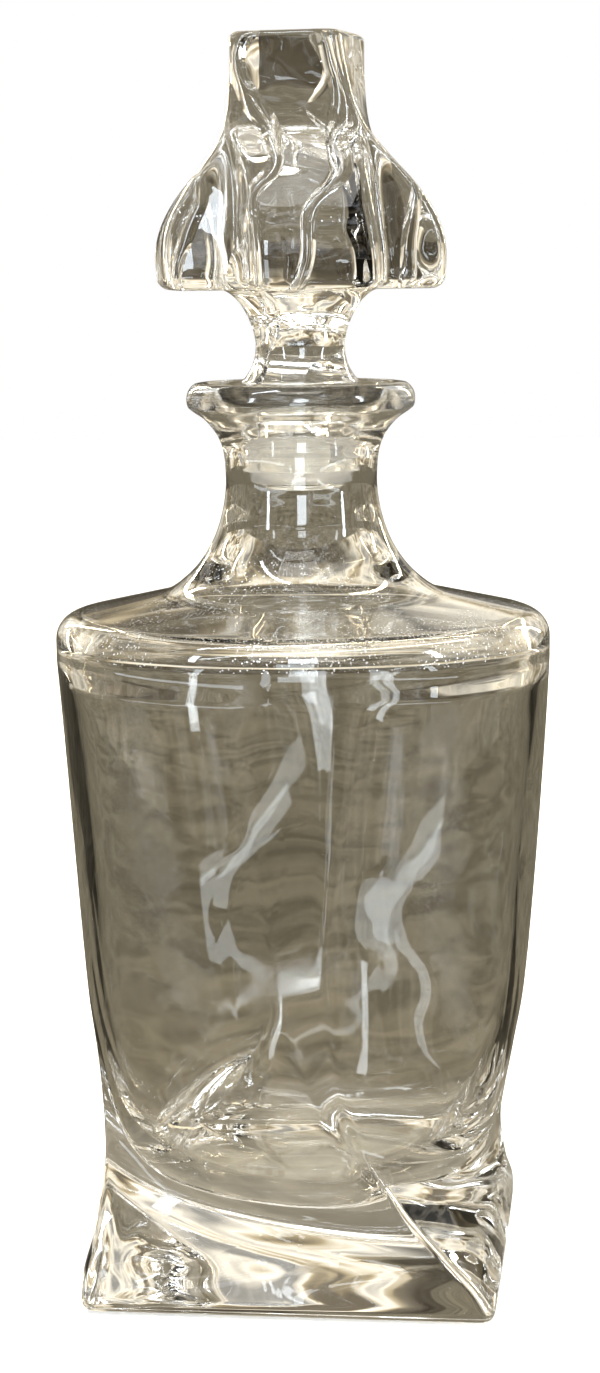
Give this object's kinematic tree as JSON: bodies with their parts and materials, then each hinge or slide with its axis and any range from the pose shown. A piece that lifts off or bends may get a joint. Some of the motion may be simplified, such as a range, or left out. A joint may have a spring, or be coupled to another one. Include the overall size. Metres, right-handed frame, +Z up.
{
  "type": "decanter",
  "caption": "Glass decanter with a twisted square body on a thick foot, flared lip and a square glass stopper in a ribbed plastic seal.",
  "frame": {"origin": "middle of the flat underside of the bottle, on the axis of the neck", "axes": "+Z up through the neck and stopper, X and Y along the sides of the square foot"},
  "size_m": [0.1062, 0.1062, 0.2655],
  "materials": {
    "glass": "clear polished lead-free crystal glass",
    "seal_plastic": "clear to milky polyethylene, smooth"
  },
  "bodies": {
    "bottle": {"bottle": "glass"},
    "seal": {"stopper_seal": "seal_plastic"},
    "stopper": {"stopper": "glass"}
  },
  "joints": [
    {"name": "seal_lift", "type": "slide", "parent": "bottle", "child": "seal", "axis": [0, 0, 1], "range_m": [0, 0.04]},
    {"name": "stopper_turn", "type": "hinge", "parent": "seal", "child": "stopper", "pos_m": [0, 0, 0.18], "axis": [0, 0, 1], "continuous": true}
  ]
}
